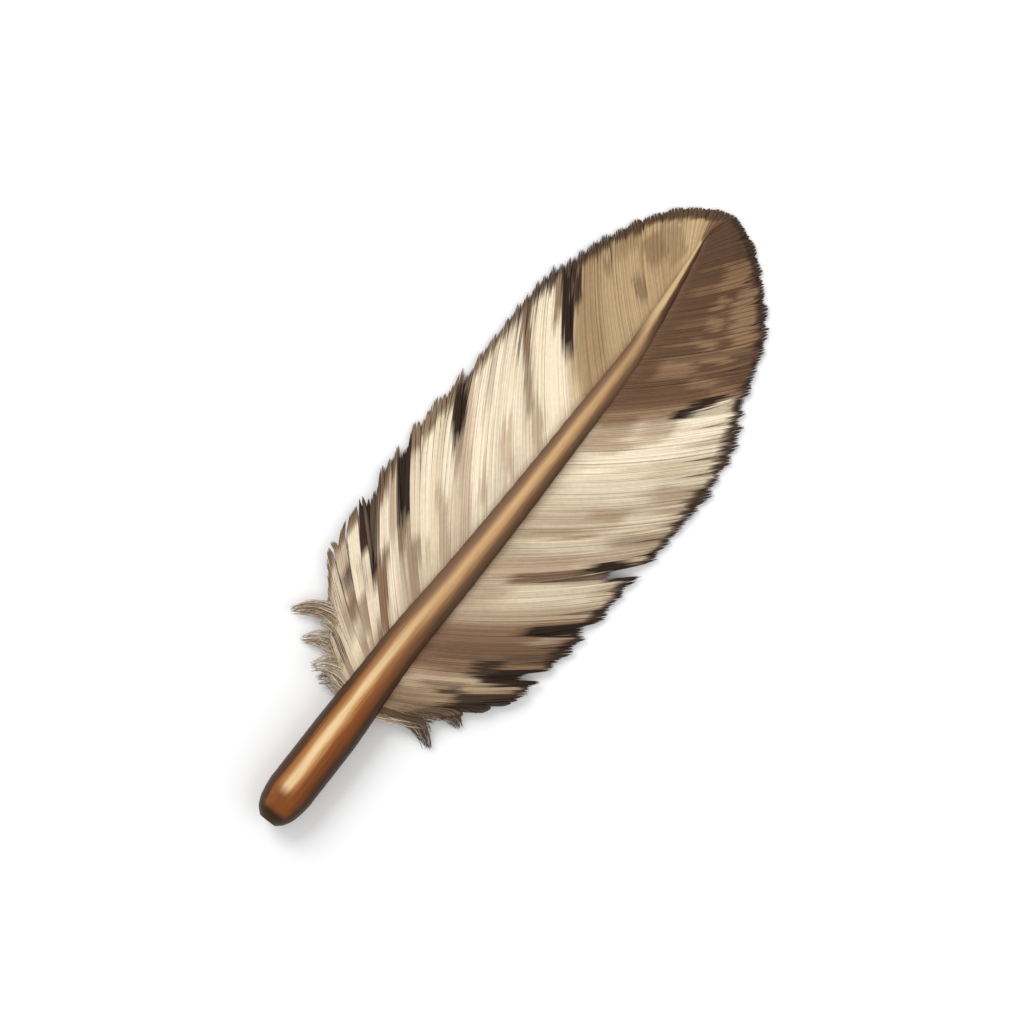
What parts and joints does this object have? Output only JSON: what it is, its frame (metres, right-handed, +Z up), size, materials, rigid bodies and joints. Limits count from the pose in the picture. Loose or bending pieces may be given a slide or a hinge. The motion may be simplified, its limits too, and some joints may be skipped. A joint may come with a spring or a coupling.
{
  "type": "feather",
  "caption": "Shed bird's wing feather with a stout blunt quill, broad vanes parted into locks and down at the foot, lying on its underside.",
  "frame": {"origin": "the middle of the feather's length and width, on the surface that it lies on", "axes": "+X from the quill's blunt end to the tip of the vane, +Y to the left vane, +Z up, out of the feather's upper side"},
  "size_m": [0.18, 0.066, 0.0111],
  "materials": {
    "vane": "matte",
    "shaft": "satin",
    "down": "matte"
  },
  "bodies": {
    "root": {"feather": "vane"}
  },
  "joints": []
}
